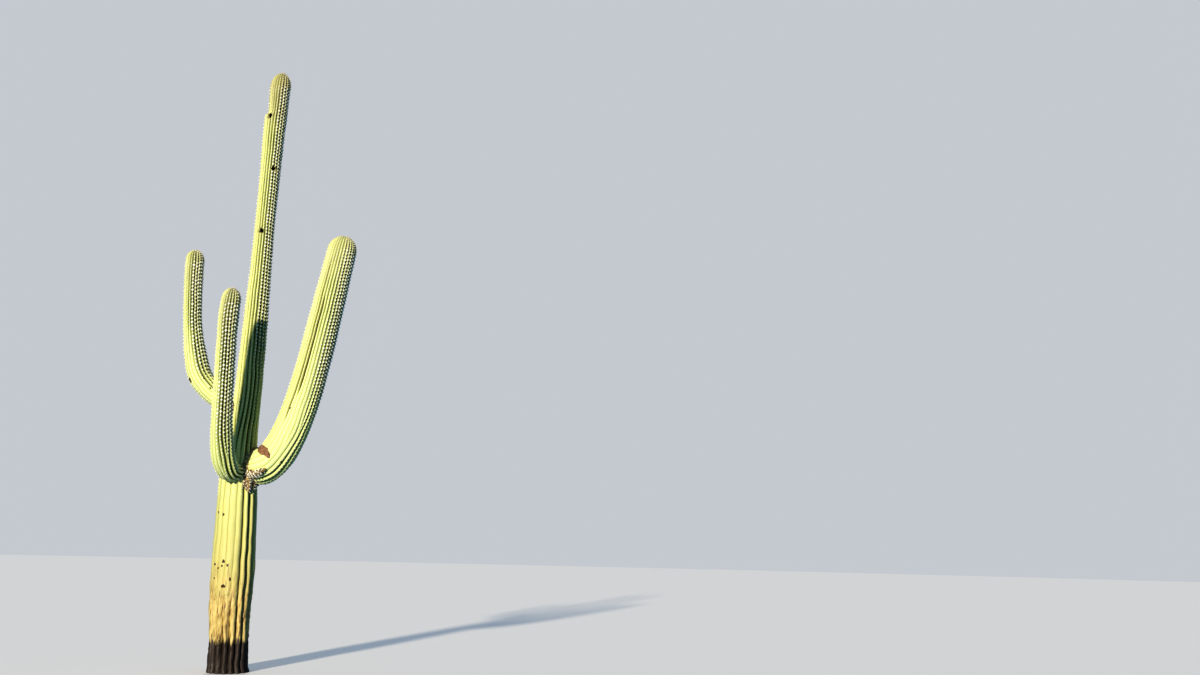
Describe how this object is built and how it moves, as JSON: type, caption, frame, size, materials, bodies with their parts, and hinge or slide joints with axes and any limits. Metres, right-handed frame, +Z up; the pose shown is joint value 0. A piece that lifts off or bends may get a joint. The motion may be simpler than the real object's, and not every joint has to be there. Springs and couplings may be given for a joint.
{
  "type": "saguaro cactus",
  "caption": "Tall ribbed columnar cactus, rooted in the ground, with thick arms that leave the trunk low down, bend and stand up beside it.",
  "frame": {"origin": "centre of the flat cut under the trunk's foot, at ground level", "axes": "+Z up along the trunk, +X towards the thickest arm, -Y towards the viewer of the picture and the arm in front"},
  "size_m": [2.2975, 1.328, 8.4897],
  "materials": {
    "trunk_skin": "matte",
    "arm_skin": "matte",
    "spines": "matte",
    "cork": "matte"
  },
  "bodies": {
    "root": {"trunk": "trunk_skin", "right_arm_elbow": "arm_skin", "right_arm_upright": "arm_skin", "front_arm_elbow": "arm_skin", "front_arm_upright": "arm_skin", "left_arm_elbow": "arm_skin", "left_arm_upright": "arm_skin"}
  },
  "joints": []
}
